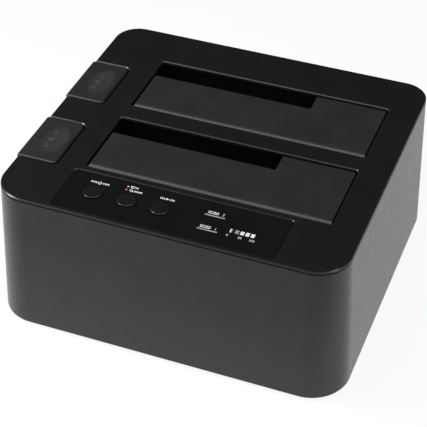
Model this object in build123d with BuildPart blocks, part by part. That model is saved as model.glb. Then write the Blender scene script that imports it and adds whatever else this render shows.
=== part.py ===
from build123d import *
from math import atan2, cos, degrees, hypot, pi, sin, sqrt
import os

# Millimetres throughout: X to the right along the drive slots, Y to the back, Z up from the table.

# Case
cover_length = 146.4
cover_depth = 135.0
front_corner = 13.9
back_corner = 11.0
back_corner_swell = 3.5
cover_thickness = 1.6
cover_edge_height = 1.0
cover_bevel = 0.4
cover_lip_height = 3.0
cover_lip_thickness = 1.4
cover_lip_gap = 0.15
case_height = 65.9
side_lean = 2.9
wall = 2.2
foot_stand = 1.5
shell_edge_radius = 0.8
shadow_gap_depth = 0.9
post_inset = 13.9

# Clearances, and how far a cut runs past what it cuts
moving_gap = 0.4
still_gap = 0.2
running_gap = 0.05
seat_gap = 0.02
cut_overrun = 1.0
bevel_angle = 45

# Drive slots and the wells under them
slot_left_margin = 28.4
slot_right_margin = 13.0
slot_front_margin = 29.45
slot_back_margin = 22.65
slot_spacing = 9.5
slot_corner = 1.4
well_wall = 1.6
well_end_relief = 0.6
well_front_relief = 0.3
well_back_relief = 1.2
well_corner = 1.0
well_floor_top = 16.0
well_floor_thickness = 1.6
guide_rib_width = 1.6
guide_rib_drop = 7.9
guide_rib_shares = (0.07, 0.36, 0.64, 0.93)
back_rib_reach = 0.8
front_rib_reach = 1.8
tab_size = 7.0
tab_thickness = 2.0
tab_spread = 18.0
tab_boss_length = 4.0
tab_boss_radius = 2.6
hinge_boss_radius = 2.6
hinge_boss_length = 1.5
shelf_drop = 25.9
shelf_thickness = 3.0
shelf_width = 16.0
shelf_margin = 1.2
gusset_length = 12.0
gusset_height_share = 0.6
gusset_thickness = 1.6

# Flaps, their hinge pins and springs
barrel_radius = 2.9
flap_recess = 0.4
flap_front_gap = 0.35
flap_left_gap = 1.2
flap_right_gap = 0.8
flap_back_gap = 1.6
flap_thickness = 3.8
flap_skin = 1.6
flap_rib = 1.5
flap_corner = 0.6
flap_left_cells = 4
flap_right_cells = 2
small_drive_opening = 11.4
small_drive_length = 72.0
stop_reach = 0.7
stop_thickness = 1.5
stop_drop = 0.15
stop_margin = 2.0
hinge_pin_radius = 0.9
spring_pocket_radius = 2.2
spring_pocket_length = 7.0
flap_spring_radius = 1.6
flap_spring_wire = 0.25
flap_spring_pitch = 1.1
flap_spring_turns = 4

# Eject paddles, their levers and springs
paddle_length = 17.4
paddle_depth = 28.8
paddle_reach = 0.7
paddle_rise = 0.4
paddle_thickness = 2.4
paddle_corner = 2.0
paddle_outer_corner = 0.6
paddle_edge_radius = 0.8
paddle_gap = 0.8
paddle_offset = -7.5
paddle_travel = 6.0
paddle_rib_width = 1.2
paddle_rib_height = 2.2
paddle_rib_margin = 1.0
paddle_skirt_overlap = 1.5
dish_reach_x = 6.0
dish_reach_y = 10.8
dish_depth = 0.45
dish_shift = 1.3
notch_corner = 1.5
stem_offset = 1.6
stem_length = 4.8
stem_width = 6.6
stem_nose_flat = 0.2
stem_guide_gap = 0.15
catch_reach = 0.9
catch_height = 3.0
return_spring_radius = 4.6
return_spring_wire = 0.35
return_spring_turns = 5
lever_pivot_inset = 3.5
lever_pivot_z = 13.2
lever_height = 5.0
lever_width = 6.0
lever_hub_radius = 3.2
lever_tail = 2.5
lever_end_radius = 1.5
lift_bar_near = 8.0
lift_bar_far = 12.5
lift_bar_margin = 3.0
lever_pin_radius = 1.5
bracket_thickness = 2.5
bracket_length = 6.0
bracket_crown = 3.0

# Control strip, buttons, lenses and lamps
panel_left_shift = 2.4
panel_right_margin = 14.1
panel_front_margin = 2.4
panel_back_margin = 3.25
panel_corner = 1.5
panel_thickness = 0.7
panel_drop = 0.3
panel_recess_bevel = 0.3
button_radius = 4.0
button_ring = 0.4
button_bore_gap = 0.25
button_rise = 0.5
button_edge_radius = 0.4
button_travel = 0.5
button_flange_radius = 4.8
button_flange_thickness = 1.2
button_stem_radius = 1.6
button_front_margin = 12.4
button_shares = {"power": 0.1372, "mode": 0.2937, "start": 0.4469}
lens_length = 3.4
mode_lens_radius = 0.45
mode_lens_shift = 2.9
mode_lens_back_margin = 4.0
mode_lens_pitch = 2.0
bay_lens_length = 8.4
bay_lens_width = 0.7
bay_lens_share = 0.6795
bay_1_lens_front_margin = 6.8
bay_2_lens_back_margin = 8.1
progress_lens_length = 1.5
progress_lens_width = 2.1
progress_lens_pitch = 2.15
progress_lens_count = 5
progress_lens_share = 0.8242
progress_lens_front_margin = 9.8
lamp_length = 1.6
lamp_width = 1.0
lamp_height = 0.9
switch_size = 6.0
switch_height = 3.5
plunger_radius = 1.7
plunger_show = 1.0
plunger_hidden = 1.6
panel_board_drop = 6.5
panel_board_left_margin = 4.2
panel_board_right_margin = 5.1
panel_board_front_margin = 2.1
panel_board_back_margin = 0.7
panel_boss_inset = 2.6
panel_boss_radius = 2.2

# Boards, sockets and what stands on them
board_thickness = 1.6
board_corner = 1.0
main_board_bottom = 6.0
main_board_left_margin = 2.4
main_board_right_margin = 7.8
main_board_front_margin = 9.1
main_board_back_margin = 2.6
standoff_inset = 4.0
standoff_radius = 3.0
receptacle_left_offset = 30.8
receptacle_length = 42.0
receptacle_width = 6.6
receptacle_rise = 5.0
receptacle_back_offset = 4.6
receptacle_base_length = 44.0
receptacle_base_width = 8.0
receptacle_base_height = 5.5
contact_slot_width = 1.7
contact_slot_depth = 4.5
contact_slot_end = 1.6
contact_slot_split = 2.4
signal_slot_length = 13.5
contact_key = 1.2
port_recess = 0.4
port_gap = 0.3
port_corner = 0.8
usb_share = 0.635
usb_length = 12.1
usb_height = 12.6
usb_reach = 17.0
usb_mouth_length = 8.5
usb_mouth_height = 7.8
usb_upper_length = 5.4
usb_upper_height = 2.4
usb_tongue_length = 5.6
usb_tongue_height = 3.2
usb_upper_tongue_length = 3.6
usb_upper_tongue_height = 0.8
usb_mouth_depth = 9.0
usb_floor = 0.9
esata_share = 0.385
esata_length = 14.5
esata_height = 6.0
esata_reach = 16.0
esata_wall = 0.7
esata_tongue_height = 1.3
esata_tongue_inset = 1.5
esata_mouth_depth = 7.0
jack_share = 0.844
jack_length = 9.0
jack_height = 11.0
jack_reach = 14.0
jack_bore_radius = 3.15
jack_bore_depth = 9.5
jack_pin_radius = 1.0
bridge_chip_size = 14.0
bridge_chip_height = 1.4
bridge_chip_share = 0.374
memory_chip_length = 10.3
memory_chip_width = 7.5
memory_chip_height = 1.8
memory_chip_share = 0.167
memory_chip_pitch = 16.0
memory_chip_setback = 8.0
crystal_length = 11.0
crystal_width = 4.6
crystal_height = 3.5
crystal_share = 0.51
capacitor_radius = 3.15
capacitor_height = 8.0
capacitor_share = 0.104
capacitor_pitch = 9.0
capacitor_setback = 10.5
inductor_size = 8.0
inductor_height = 4.0
inductor_share = 0.85
inductor_setback = 8.0
header_length = 14.0
header_width = 5.0
header_height = 5.0
header_share = 0.677
header_setback = 5.5
ribbon_width = 12.0
ribbon_thickness = 0.8
ribbon_bow = 3.0

# Base plate, feet and screws
base_thickness = 2.0
foot_radius = 6.0
foot_seat_depth = 0.8
foot_edge_radius = 0.5
post_radius = 4.0
post_web = 2.0
post_drop = 18.9
case_boss_radius = 5.0
case_boss_height = 3.0
vent_length = 26.0
vent_width = 2.4
vent_pitch = 6.0
vent_count = 9
vent_x = 2.0
case_screw_radius = 1.3
case_screw_length = 12.0
case_head_radius = 2.5
case_head_height = 2.0
small_screw_radius = 0.9
small_screw_length = 5.2
small_head_radius = 1.9
small_head_height = 1.3
screw_pass_gap = 0.2
driver_radius_share = 0.5
driver_depth_share = 0.5

# Worked out from the sizes above
rim_z = case_height - cover_thickness
base_top = foot_stand + base_thickness
post_x = cover_length / 2 - post_inset
post_y = cover_depth / 2 - post_inset
post_bottom = base_top + case_boss_height
post_top = rim_z - post_drop
case_screw_seat = foot_stand + foot_seat_depth + case_head_height + still_gap

slot_left = -cover_length / 2 + slot_left_margin
slot_right = cover_length / 2 - slot_right_margin
slot_length = slot_right - slot_left
slot_x = (slot_left + slot_right) / 2
slot_depth = (cover_depth - slot_front_margin - slot_spacing - slot_back_margin) / 2
bay_1_y = -cover_depth / 2 + slot_front_margin + slot_depth / 2
bays = {1: bay_1_y, 2: bay_1_y + slot_depth + slot_spacing}
well_left = slot_left - well_end_relief
well_right = slot_right + well_end_relief
well_bottom = well_floor_top - well_floor_thickness
well_top = rim_z - seat_gap
tab_top = rim_z - tab_boss_length
tab_left_x = well_left - well_wall - tab_size / 2
tab_right_x = well_right + well_wall + tab_size / 2
guide_rib_top = rim_z - guide_rib_drop
shelf_bottom = rim_z - shelf_drop
shelf_top = shelf_bottom + shelf_thickness
gusset_height = (shelf_bottom - well_bottom) * gusset_height_share

flap_left = slot_left + flap_left_gap
flap_right = slot_right - flap_right_gap
flap_top = case_height - flap_recess
flap_bottom = flap_top - flap_thickness
hinge_z = flap_top - barrel_radius
notch_right = flap_left + small_drive_length
stop_top = rim_z - stop_drop

paddle_left = -cover_length / 2 - paddle_reach
paddle_right = paddle_left + paddle_length
paddle_x = (paddle_left + paddle_right) / 2
paddle_top = case_height + paddle_rise
paddle_bottom = paddle_top - paddle_thickness
paddle_notch_bottom = paddle_bottom - paddle_travel - moving_gap
stem_x = paddle_x + stem_offset
lever_pivot_x = well_left - well_wall - lever_pivot_inset
lever_arm = lever_pivot_x - stem_x
lever_swing = paddle_travel / lever_arm
lever_top = lever_pivot_z + lever_height / 2
lever_bottom = lever_pivot_z - lever_height / 2
stem_foot = lever_top + moving_gap
lift_bar_sweep = hypot(lift_bar_far, lever_height / 2)

panel_left = slot_left - panel_left_shift
panel_length = slot_right - panel_right_margin - panel_left
panel_x = panel_left + panel_length / 2
panel_depth = slot_front_margin - panel_front_margin - panel_back_margin
panel_front = -cover_depth / 2 + panel_front_margin
panel_back = panel_front + panel_depth
panel_y = (panel_front + panel_back) / 2
panel_top = case_height - panel_drop
panel_bottom = panel_top - panel_thickness
panel_board_top = rim_z - panel_board_drop
panel_board_bottom = panel_board_top - board_thickness
panel_board_length = panel_length - panel_board_left_margin - panel_board_right_margin
panel_board_depth = panel_depth - panel_board_front_margin - panel_board_back_margin
panel_board_x = panel_left + panel_board_left_margin + panel_board_length / 2
panel_board_y = panel_front + panel_board_front_margin + panel_board_depth / 2
buttons = {name: panel_left + share * panel_length for name, share in button_shares.items()}
button_y = panel_front + button_front_margin
button_top = panel_top + button_rise
button_flange_top = rim_z - running_gap
button_flange_bottom = button_flange_top - button_flange_thickness
lens_bottom = panel_top - lens_length
switch_top = panel_board_top + switch_height
plunger_top = switch_top + plunger_show

main_board_top = main_board_bottom + board_thickness
main_board_left = well_left + main_board_left_margin
main_board_right = well_right - main_board_right_margin
main_board_length = main_board_right - main_board_left
main_board_front = -cover_depth / 2 + main_board_front_margin
main_board_back = cover_depth / 2 - main_board_back_margin
receptacle_x = slot_left + receptacle_left_offset
receptacle_right = receptacle_x + receptacle_length / 2
bridge_chip_x = receptacle_right + bridge_chip_share * (main_board_right - receptacle_right)
middle_y = bay_1_y + (slot_depth + slot_spacing) / 2

corners = [(x, y) for x in (-post_x, post_x) for y in (-post_y, post_y)]
low_corner = (Align.CENTER, Align.CENTER, Align.MIN)


def bay_front(bay_y):
    return bay_y - slot_depth / 2


def bay_back(bay_y):
    return bay_y + slot_depth / 2


def hinge_y(bay_y):
    return bay_front(bay_y) + flap_front_gap + barrel_radius


def paddle_y(bay_y):
    return bay_y + paddle_offset


def receptacle_y(bay_y):
    return bay_back(bay_y) - receptacle_back_offset


def drop_share(z):
    """How far down the case's sides a height lies: none at the rim, the whole at the lower edge."""
    return (rim_z - z) / (rim_z - foot_stand)


def lean_at(z):
    """How far the leaning sides stand out past the rim at a height."""
    return side_lean * drop_share(z)


def swell_at(z):
    """How much rounder the back corners are at a height than the lean alone makes them."""
    return back_corner_swell * drop_share(z)


def draw_outline(growth, swell=0, mode=Mode.ADD):
    """The cover's outline, let out all round by a growth, in the sketch being drawn."""
    with BuildSketch(mode=Mode.PRIVATE) as outline:
        Rectangle(cover_length + 2 * growth, cover_depth + 2 * growth)
        fillet(outline.vertices().group_by(Axis.Y)[0], front_corner + growth)
        fillet(outline.vertices().group_by(Axis.Y)[-1], back_corner + growth + swell)
    add(outline.sketch, mode=mode)


def case_outline(z, inset):
    """The leaning case's outline at a height, drawn in by an inset."""
    with BuildSketch(Plane.XY.offset(z)) as outline:
        draw_outline(lean_at(z) - inset, swell_at(z))
    return outline.sketch


def rod(x, y, radius, z_low, z_high, mode=Mode.ADD):
    """An upright cylinder between two heights, in the part being built."""
    with Locations((x, y, z_low)):
        Cylinder(radius, z_high - z_low, align=low_corner, mode=mode)


def block(x_range, y_range, z_range, mode=Mode.ADD):
    """A square-edged block between three pairs of places, in the part being built."""
    (x_low, x_high), (y_low, y_high), (z_low, z_high) = x_range, y_range, z_range
    with Locations((x_low, y_low, z_low)):
        Box(x_high - x_low, y_high - y_low, z_high - z_low, align=(Align.MIN,) * 3, mode=mode)


def around(middle, size):
    return middle - size / 2, middle + size / 2


def panel_board_screw_places():
    spread_x = panel_board_length / 2 - panel_boss_inset
    spread_y = panel_board_depth / 2 - panel_boss_inset
    return [(panel_board_x + i * spread_x, panel_board_y + j * spread_y) for i in (-1, 1) for j in (-1, 1)]


def main_board_screw_places():
    left, right = main_board_left + standoff_inset, main_board_right - standoff_inset
    front, back = main_board_front + standoff_inset, main_board_back - standoff_inset
    return [(x, y) for x in (left, right) for y in (front, back)]


def tab_places(bay_y):
    return [(x, y) for x in (tab_left_x, tab_right_x) for y in around(bay_y, tab_spread)]


def mode_lens_places():
    x = buttons["mode"] - mode_lens_shift
    return [(x, y) for y in around(panel_back - mode_lens_back_margin, mode_lens_pitch)]


def bay_lens_places():
    x = panel_left + bay_lens_share * panel_length
    return [(x, y) for y in (panel_front + bay_1_lens_front_margin, panel_back - bay_2_lens_back_margin)]


def progress_lens_places():
    middle = panel_left + progress_lens_share * panel_length
    first = middle - progress_lens_pitch * (progress_lens_count - 1) / 2
    y = panel_front + progress_lens_front_margin
    return [(first + i * progress_lens_pitch, y) for i in range(progress_lens_count)]


def board_x(share):
    """Across the main board, at a share of its length."""
    return main_board_left + share * main_board_length


def cut_lens_windows(z_low, z_high):
    """Cuts the windows that the lenses sit in, in the part being built."""
    for x, y in mode_lens_places():
        rod(x, y, mode_lens_radius + seat_gap, z_low, z_high, mode=Mode.SUBTRACT)
    bars = [(place, bay_lens_length, bay_lens_width) for place in bay_lens_places()]
    bars += [(place, progress_lens_length, progress_lens_width) for place in progress_lens_places()]
    for (x, y), length, width in bars:
        sides = around(x, length + 2 * seat_gap), around(y, width + 2 * seat_gap)
        block(*sides, (z_low, z_high), mode=Mode.SUBTRACT)


def port_face(height):
    """Where a rear socket's face stands, just inside the leaning back wall at the socket's top."""
    return cover_depth / 2 + lean_at(main_board_top + height) - port_recess


def make_body_shell():
    """Four leaning walls in one moulding, with a screw post in each corner and a notch for each paddle."""
    with BuildPart() as cavity:
        loft([case_outline(foot_stand, wall), case_outline(rim_z, wall)])
        with BuildSketch(Plane.XY.offset(post_bottom)):
            for x, y in corners:
                with Locations(Location((x, y, 0), (0, 0, degrees(atan2(y / post_y, x / post_x))))):
                    Circle(post_radius)
                    Rectangle(2 * post_inset, post_web, align=(Align.MIN, Align.CENTER))
        extrude(amount=post_top - post_bottom, mode=Mode.SUBTRACT)
    with BuildPart() as body_shell:
        loft([case_outline(foot_stand, 0), case_outline(rim_z, 0)])
        fillet(body_shell.faces().sort_by(Axis.Z)[0].edges(), shell_edge_radius)
        add(cavity.part, mode=Mode.SUBTRACT)
        for bay_y in bays.values():
            with BuildSketch(Plane.YZ.offset(-cover_length / 2 + wall + cut_overrun)) as notch:
                with Locations((paddle_y(bay_y), paddle_notch_bottom)):
                    notch_height = rim_z + cut_overrun - paddle_notch_bottom
                    Rectangle(paddle_depth + 2 * paddle_gap, notch_height, align=(Align.CENTER, Align.MIN))
                fillet(notch.vertices().group_by(Axis.Y)[0], notch_corner)
            extrude(amount=-wall - side_lean - 2 * cut_overrun, mode=Mode.SUBTRACT)
        with BuildSketch(Plane.XZ.offset(-cover_depth / 2 + wall + cut_overrun)):
            for x, length, height in (
                (board_x(usb_share), usb_length, usb_height),
                (board_x(esata_share), esata_length, esata_height),
                (board_x(jack_share), jack_length, jack_height),
            ):
                with Locations((x, main_board_top + height / 2)):
                    RectangleRounded(length + 2 * port_gap, height + 2 * port_gap, port_corner)
        extrude(amount=-wall - side_lean - 2 * cut_overrun, mode=Mode.SUBTRACT)
        for x, y in corners:
            top = case_screw_seat + case_screw_length + still_gap
            rod(x, y, case_screw_radius + seat_gap, post_bottom, top, mode=Mode.SUBTRACT)
    return body_shell


def make_top_cover():
    """The lid: slots, paddle recesses and strip recess above; lip and screw bosses below."""
    with BuildPart() as top_cover:
        with BuildSketch(Plane.XY.offset(rim_z)):
            draw_outline(-shadow_gap_depth)
        extrude(amount=cover_thickness)
        with BuildSketch(Plane.XY.offset(case_height)):
            draw_outline(0)
        extrude(amount=-cover_edge_height)
        with BuildSketch(Plane.XY.offset(rim_z)):
            draw_outline(-wall - cover_lip_gap)
            draw_outline(-wall - cover_lip_gap - cover_lip_thickness, mode=Mode.SUBTRACT)
        extrude(amount=-cover_lip_height)
        with BuildSketch(Plane.XY.offset(case_height)):
            with Locations(*[(slot_x, bay_y) for bay_y in bays.values()]):
                RectangleRounded(slot_length, slot_depth, slot_corner)
        extrude(amount=-cover_thickness, mode=Mode.SUBTRACT)
        for bay_y in bays.values():
            with BuildSketch(Plane.XY.offset(case_height)) as recess:
                with Locations((paddle_right + paddle_gap, paddle_y(bay_y))):
                    recess_length = paddle_length + paddle_gap + cut_overrun
                    recess_depth = paddle_depth + 2 * paddle_gap
                    Rectangle(recess_length, recess_depth, align=(Align.MAX, Align.CENTER))
                fillet(recess.vertices().group_by(Axis.X)[-1], paddle_corner + paddle_gap)
            extrude(amount=-cover_thickness - cover_lip_height - cut_overrun, mode=Mode.SUBTRACT)
        chamfer(top_cover.faces().sort_by(Axis.Z)[-1].edges(), cover_bevel)
        for spare, depth, slope in (
            (still_gap + panel_recess_bevel, panel_recess_bevel, bevel_angle),
            (still_gap, panel_drop + panel_thickness, 0),
        ):
            with BuildSketch(Plane.XY.offset(case_height)):
                with Locations((panel_x, panel_y)):
                    RectangleRounded(panel_length + 2 * spare, panel_depth + 2 * spare, panel_corner + spare)
            extrude(amount=-depth, taper=slope, mode=Mode.SUBTRACT)
        for x in buttons.values():
            rod(x, button_y, button_radius + button_bore_gap, rim_z, panel_bottom, mode=Mode.SUBTRACT)
        cut_lens_windows(rim_z, panel_bottom)
        pilot_radius = small_screw_radius + seat_gap
        for x, y in panel_board_screw_places():
            rod(x, y, panel_boss_radius, panel_board_top, rim_z)
            pilot_top = panel_board_bottom + small_screw_length + still_gap
            rod(x, y, pilot_radius, panel_board_top, pilot_top, mode=Mode.SUBTRACT)
        for x, y in [place for bay_y in bays.values() for place in tab_places(bay_y)]:
            rod(x, y, tab_boss_radius, tab_top, rim_z)
            pilot_top = tab_top - tab_thickness + small_screw_length + still_gap
            rod(x, y, pilot_radius, tab_top, pilot_top, mode=Mode.SUBTRACT)
    return top_cover


def make_well(bay_y):
    """The pocket that a drive stands in, with guide ribs, hinge bosses and the paddle's guide shelf."""
    front = bay_front(bay_y) - well_front_relief
    back = bay_back(bay_y) + well_back_relief
    length, depth, middle = well_right - well_left, back - front, (front + back) / 2
    outer_left, outer_right = well_left - well_wall, well_right + well_wall
    press_y = paddle_y(bay_y)
    arm_room = around(press_y, lever_width + 2 * moving_gap)
    floor_cut = (well_bottom - cut_overrun, well_floor_top + cut_overrun)
    with BuildPart() as well:
        with BuildSketch(Plane.XY.offset(well_bottom)):
            with Locations((slot_x, middle)):
                RectangleRounded(length + 2 * well_wall, depth + 2 * well_wall, well_corner + well_wall)
        extrude(amount=well_top - well_bottom)
        with BuildSketch(Plane.XY.offset(well_floor_top)):
            with Locations((slot_x, middle)):
                RectangleRounded(length, depth, well_corner)
        extrude(amount=well_top - well_floor_top, mode=Mode.SUBTRACT)
        for share in guide_rib_shares:
            sides = around(slot_left + share * slot_length, guide_rib_width)
            block(sides, (back - back_rib_reach, back + well_wall / 2), (well_floor_top, guide_rib_top))
            block(sides, (front - well_wall / 2, front + front_rib_reach), (well_floor_top, guide_rib_top))
        for x, y in tab_places(bay_y):
            inward = 1 if x < slot_x else -1
            tab_sides = around(x + inward * well_wall / 4, tab_size + well_wall / 2)
            tab_height = (tab_top - tab_thickness, tab_top)
            block(tab_sides, around(y, tab_size), tab_height)
            rod(x, y, small_screw_radius + screw_pass_gap, *tab_height, mode=Mode.SUBTRACT)
        for x, reach in ((outer_left, -hinge_boss_length), (outer_right, hinge_boss_length)):
            with BuildSketch(Plane.YZ.offset(x)):
                with Locations((hinge_y(bay_y), hinge_z)):
                    Circle(hinge_boss_radius)
                with Locations((hinge_y(bay_y), well_top + hinge_boss_radius / 2)):
                    Rectangle(2 * hinge_boss_radius, hinge_boss_radius, mode=Mode.SUBTRACT)
            extrude(amount=reach)
        with BuildSketch(Plane.YZ.offset(outer_left - hinge_boss_length)):
            with Locations((hinge_y(bay_y), hinge_z)):
                Circle(hinge_pin_radius + seat_gap)
        extrude(amount=length + 2 * well_wall + 2 * hinge_boss_length, mode=Mode.SUBTRACT)
        shelf_left = stem_x - return_spring_radius - shelf_margin
        block((shelf_left, outer_left), around(press_y, shelf_width), (shelf_bottom, shelf_top))
        for y in around(press_y, shelf_width - gusset_thickness):
            with BuildSketch(Plane.XZ.offset(-y)):
                with BuildLine():
                    Polyline(
                        (outer_left, shelf_bottom),
                        (outer_left - gusset_length, shelf_bottom),
                        (outer_left, shelf_bottom - gusset_height),
                        close=True,
                    )
                make_face()
            extrude(amount=gusset_thickness / 2, both=True)
        hole_sides = around(stem_x, stem_length + 2 * stem_guide_gap)
        hole_depth = around(press_y, stem_width + 2 * stem_guide_gap)
        block(hole_sides, hole_depth, (shelf_bottom, shelf_top), mode=Mode.SUBTRACT)
        wall_reach = well_left - lever_pivot_x
        arm_rise = (lever_height / 2 + wall_reach * sin(lever_swing)) / cos(lever_swing)
        wall_cut = (well_bottom - cut_overrun, lever_pivot_z + arm_rise + moving_gap)
        block((outer_left - cut_overrun, well_left), arm_room, wall_cut, mode=Mode.SUBTRACT)
        bar_sides = (well_left, lever_pivot_x + lift_bar_sweep + moving_gap)
        bar_room = (arm_room[0], bay_back(bay_y) - lift_bar_margin + moving_gap)
        block(bar_sides, bar_room, floor_cut, mode=Mode.SUBTRACT)
        window = around(receptacle_x, receptacle_length + 2 * still_gap)
        window_depth = around(receptacle_y(bay_y), receptacle_width + 2 * still_gap)
        block(window, window_depth, floor_cut, mode=Mode.SUBTRACT)
    return well


def make_flap(bay_y):
    """The hinged lid of a slot, with a round front barrel, a ribbed underside and a notch."""
    y_hinge = hinge_y(bay_y)
    back = bay_back(bay_y) - flap_back_gap
    notch_back = bay_back(bay_y) - small_drive_opening
    with BuildPart() as flap:
        with BuildSketch(Plane.YZ.offset(flap_left)):
            with Locations((y_hinge, hinge_z)):
                Circle(barrel_radius)
            with Locations((y_hinge, flap_top)):
                Rectangle(back - y_hinge, flap_thickness, align=(Align.MIN, Align.MAX))
        extrude(amount=flap_right - flap_left)
        notch = (flap_left - cut_overrun, notch_right), (notch_back, back + cut_overrun)
        block(*notch, (flap_bottom - cut_overrun, flap_top + cut_overrun), mode=Mode.SUBTRACT)
        fillet(flap.edges().filter_by(Axis.Z).group_by(Axis.Y)[-1], flap_corner)
        fillet(flap.edges().filter_by(Axis.Z).group_by(Axis.Y)[0], flap_corner)
        cell_front = y_hinge + barrel_radius + flap_rib
        cell_height = (flap_bottom - cut_overrun, flap_top - flap_skin)
        for left, right, cell_back, count in (
            (flap_left + flap_rib / 2, notch_right, notch_back - flap_rib, flap_left_cells),
            (notch_right, flap_right - flap_rib / 2, back - flap_rib, flap_right_cells),
        ):
            pitch = (right - left) / count
            for i in range(count):
                sides = around(left + (i + 1 / 2) * pitch, pitch - flap_rib)
                block(sides, (cell_front, cell_back), cell_height, mode=Mode.SUBTRACT)
        stop_sides = (notch_right + stop_margin, flap_right - stop_margin)
        stop_depth = (back - flap_rib, bay_back(bay_y) + stop_reach)
        block(stop_sides, stop_depth, (stop_top - stop_thickness, stop_top))
        for radius, start, depth in (
            (hinge_pin_radius + running_gap, flap_left, flap_right - flap_left),
            (spring_pocket_radius, flap_right - spring_pocket_length, spring_pocket_length),
        ):
            with BuildSketch(Plane.YZ.offset(start)):
                with Locations((y_hinge, hinge_z)):
                    Circle(radius)
            extrude(amount=depth, mode=Mode.SUBTRACT)
    return flap


def make_hinge_pin(bay_y):
    left = well_left - well_wall - hinge_boss_length
    right = well_right + well_wall + hinge_boss_length
    with BuildPart() as hinge_pin:
        with BuildSketch(Plane.YZ.offset(left)):
            with Locations((hinge_y(bay_y), hinge_z)):
                Circle(hinge_pin_radius)
        extrude(amount=right - left)
    return hinge_pin


def coil_path(base, radius, pitch, turns):
    """A helix about a plane's normal, each half turn drawn as two tangent arcs."""

    def place(turn):
        angle = 2 * pi * turn
        return base.from_local_coords(Vector(radius * cos(angle), radius * sin(angle), pitch * turn))

    def heading(turn):
        angle = 2 * pi * turn
        tip = Vector(-radius * sin(angle), radius * cos(angle), pitch / (2 * pi))
        return (base.from_local_coords(tip) - base.origin).normalized()

    with BuildLine() as path:
        for half in range(2 * turns):
            start, end = place(half / 2), place((half + 1) / 2)
            leaving, arriving = heading(half / 2), heading((half + 1) / 2)
            span, turned = end - start, leaving + arriving
            bend = 4 - turned.dot(turned)
            along = span.dot(turned)
            reach = (sqrt(along * along + bend * span.dot(span)) - along) / bend
            before, after = start + leaving * reach, end - arriving * reach
            middle = (before + after) * (1 / 2)
            TangentArc(start, middle, tangent=leaving)
            TangentArc(middle, end, tangent=after - before)
    return path.wires()[0]


def make_coil(base, radius, pitch, turns, wire_radius):
    path = coil_path(base, radius, pitch, turns)
    with BuildPart() as coil:
        with BuildSketch(Plane(origin=path @ 0, z_dir=path % 0)):
            Circle(wire_radius)
        sweep(path=path)
    return coil


def make_flap_spring(bay_y):
    """The torsion spring round the hinge pin, in the pocket at the flap's right end."""
    start = flap_right - spring_pocket_length + flap_spring_wire + running_gap
    base = Plane(origin=(start, hinge_y(bay_y), hinge_z), x_dir=(0, 1, 0), z_dir=(1, 0, 0))
    return make_coil(base, flap_spring_radius, flap_spring_pitch, flap_spring_turns, flap_spring_wire)


def make_return_spring(bay_y):
    """The spring between the well's shelf and the paddle's underside, round the paddle's stem."""
    low = shelf_top + return_spring_wire + seat_gap
    high = paddle_bottom - return_spring_wire - seat_gap
    base = Plane(origin=(stem_x, paddle_y(bay_y), low))
    pitch = (high - low) / return_spring_turns
    return make_coil(base, return_spring_radius, pitch, return_spring_turns, return_spring_wire)


def cut_dish(y):
    """A long oval dish in the paddle being built: an arc along Y, turned about an axis over the middle."""
    x, low = paddle_x + dish_shift, paddle_top - dish_depth
    axis_z = low + (dish_reach_x * dish_reach_x + dish_depth * dish_depth) / (2 * dish_depth)
    front, back = around(y, 2 * dish_reach_y)
    with BuildSketch(Plane.YZ.offset(x)) as profile:
        with BuildLine():
            ThreePointArc((front, paddle_top), (y, low), (back, paddle_top))
            Polyline((back, paddle_top), (back, axis_z), (front, axis_z), (front, paddle_top))
        make_face()
    revolve(profile.sketch, axis=Axis((x, y, axis_z), (0, 1, 0)), mode=Mode.SUBTRACT)


def make_paddle(bay_y):
    """The eject key: a dished plate with a long stem that stands over the lever's tail."""
    y = paddle_y(bay_y)
    rib_sides = (-cover_length / 2 + wall + moving_gap, paddle_right - paddle_rib_margin)
    with BuildPart() as paddle:
        with BuildSketch(Plane.XY.offset(paddle_bottom)) as plate:
            with Locations((paddle_x, y)):
                Rectangle(paddle_length, paddle_depth)
            fillet(plate.vertices().group_by(Axis.X)[-1], paddle_corner)
            fillet(plate.vertices().group_by(Axis.X)[0], paddle_outer_corner)
        extrude(amount=paddle_thickness)
        fillet(paddle.faces().sort_by(Axis.Z)[-1].edges(), paddle_edge_radius)
        cut_dish(y)
        spring_room = 2 * (return_spring_radius + return_spring_wire + moving_gap) + paddle_rib_width
        rib_spread = paddle_depth - 2 * paddle_rib_margin - paddle_rib_width
        height = (paddle_bottom - paddle_rib_height, paddle_bottom + paddle_thickness / 2)
        for rib_y in around(y, spring_room) + around(y, rib_spread):
            block(rib_sides, around(rib_y, paddle_rib_width), height)
        skirt_sides = (rib_sides[0], rib_sides[0] + paddle_rib_width)
        skirt_low = paddle_notch_bottom - paddle_skirt_overlap
        block(skirt_sides, around(y, rib_spread + paddle_rib_width), (skirt_low, height[1]))
        stem_sides = around(stem_x, stem_length)
        block(stem_sides, around(y, stem_width), (stem_foot, height[1]))
        foot_edges = paddle.faces().sort_by(Axis.Z)[0].edges().filter_by(Axis.Y)
        fillet(foot_edges, (stem_length - stem_nose_flat) / 2)
        catch_top = shelf_bottom - moving_gap
        catch = around(y, stem_width + 2 * catch_reach)
        block(stem_sides, catch, (catch_top - catch_height, catch_top))
    return paddle


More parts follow.
